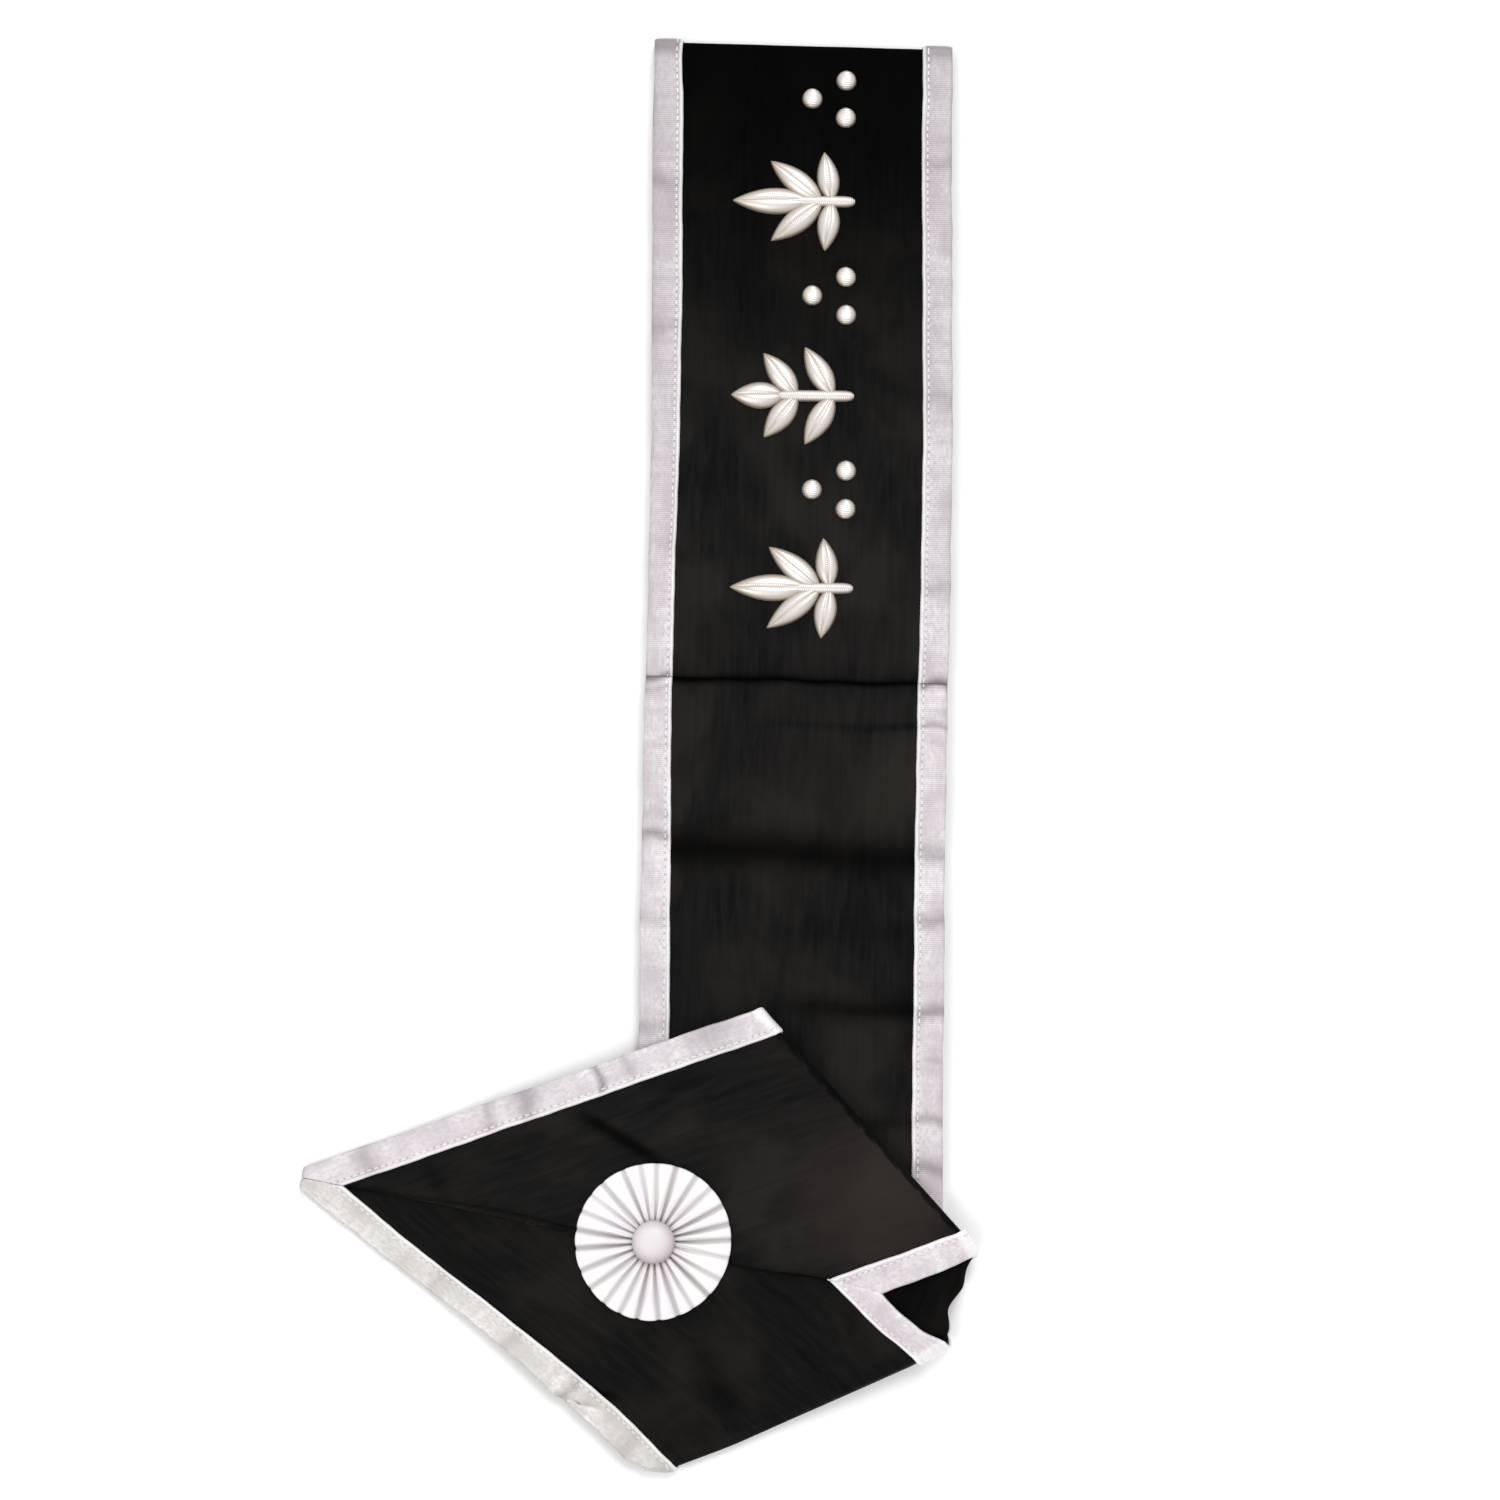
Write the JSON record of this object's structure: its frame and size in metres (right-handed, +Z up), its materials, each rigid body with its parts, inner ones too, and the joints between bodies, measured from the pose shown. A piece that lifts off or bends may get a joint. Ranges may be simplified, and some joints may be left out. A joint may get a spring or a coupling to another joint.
{
  "type": "masonic collar",
  "caption": "Flat folded V-shaped ceremonial collar of wide black ribbon with silver edge borders, raised silver embroidery and a white pleated rosette.",
  "frame": {"origin": "on the surface it lies on, under the middle of the folded collar's box", "axes": "+Z up from the surface, +Y along the long folded arms towards the neck seam, +X towards the side away from the V's point"},
  "size_m": [0.2222, 0.4756, 0.0181],
  "materials": {
    "black_ribbon": "matt black moire ribbon with a faint cross rib and watermark",
    "silver_border": "silver lame ribbon with fine cross ribs, slightly lilac",
    "silver_bullion": "padded satin-stitched silver thread, champagne in the shade",
    "white_satin": "white silver satin ribbon, softly glossy"
  },
  "bodies": {
    "root": {"ribbon_right_arm": "black_ribbon", "ribbon_left_arm": "black_ribbon", "outer_border_right_arm": "silver_border", "inner_border_right_arm": "silver_border", "outer_border_left_arm": "silver_border", "inner_border_left_arm": "silver_border", "motif_upper": "silver_bullion", "motif_middle": "silver_bullion", "motif_lower": "silver_bullion", "dot_upper_1": "silver_bullion", "dot_upper_2": "silver_bullion", "dot_upper_3": "silver_bullion", "dot_middle_1": "silver_bullion", "dot_middle_2": "silver_bullion", "dot_middle_3": "silver_bullion", "dot_lower_1": "silver_bullion", "dot_lower_2": "silver_bullion", "dot_lower_3": "silver_bullion", "rosette_pleats": "white_satin", "rosette_button": "white_satin"}
  },
  "joints": []
}
